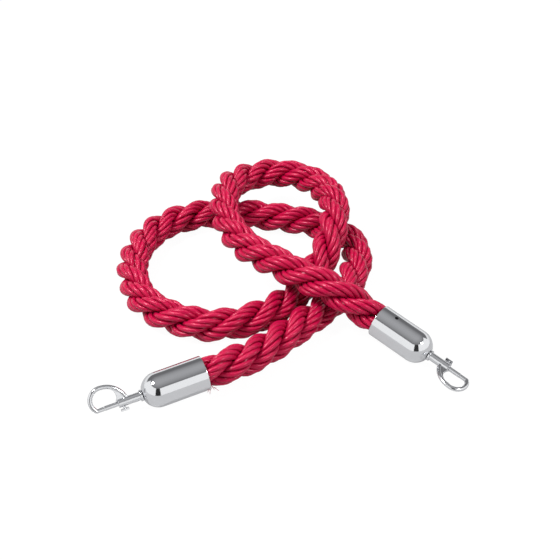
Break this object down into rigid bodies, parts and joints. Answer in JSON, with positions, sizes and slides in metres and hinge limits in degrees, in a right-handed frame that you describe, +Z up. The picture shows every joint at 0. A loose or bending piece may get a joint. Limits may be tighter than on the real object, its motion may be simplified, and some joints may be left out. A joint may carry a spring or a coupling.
{
  "type": "barrier rope with snap hooks",
  "caption": "Twisted red barrier rope lying in loose loops, with a bright metal cap and a swivelling snap hook with a spring bolt on each end.",
  "frame": {"origin": "on the floor, in the middle of the box round the two capped and hooked ends", "axes": "+Z up, +X from the left end towards the right end, +Y towards the loops behind"},
  "size_m": [0.2886, 0.318, 0.0577],
  "materials": {
    "rope": "satin",
    "binding": "matt",
    "bright_cap": "polished",
    "bright_hook": "polished",
    "plated_steel": "plated",
    "dark_screw": "blackened",
    "spring_wire": "drawn wire"
  },
  "bodies": {
    "rope_and_caps": {"rope": "rope", "left_end_cap": "bright_cap", "left_set_screw": "dark_screw", "left_binding": "binding", "left_washer": "plated_steel", "right_end_cap": "bright_cap", "right_set_screw": "dark_screw", "right_binding": "binding", "right_washer": "plated_steel"},
    "left_hook": {"left_swivel_pin": "plated_steel", "left_collar": "bright_hook", "left_hook_body": "bright_hook", "left_spring": "spring_wire"},
    "left_bolt": {"left_bolt": "bright_hook", "left_thumb_tab": "bright_hook"},
    "right_hook": {"right_swivel_pin": "plated_steel", "right_collar": "bright_hook", "right_hook_body": "bright_hook", "right_spring": "spring_wire"},
    "right_bolt": {"right_bolt": "bright_hook", "right_thumb_tab": "bright_hook"}
  },
  "joints": [
    {"name": "left_swivel", "type": "hinge", "parent": "rope_and_caps", "child": "left_hook", "pos_m": [-0.10405, -0.03606, 0.01237], "axis": [-0.9101, -0.4052, -0.0872], "continuous": true},
    {"name": "left_bolt_slide", "type": "slide", "parent": "left_hook", "child": "left_bolt", "axis": [0.9101, 0.4052, 0.0872], "range_m": [0, 0.007], "stiffness_N_per_m": 80, "springref_m": -0.006, "deforming": ["left_spring"]},
    {"name": "right_swivel", "type": "hinge", "parent": "rope_and_caps", "child": "right_hook", "pos_m": [0.11463, 0.01153, 0.0108], "axis": [0.7602, -0.6156, -0.2079], "continuous": true},
    {"name": "right_bolt_slide", "type": "slide", "parent": "right_hook", "child": "right_bolt", "axis": [-0.7602, 0.6156, 0.2079], "range_m": [0, 0.007], "stiffness_N_per_m": 80, "springref_m": -0.006, "deforming": ["right_spring"]}
  ]
}
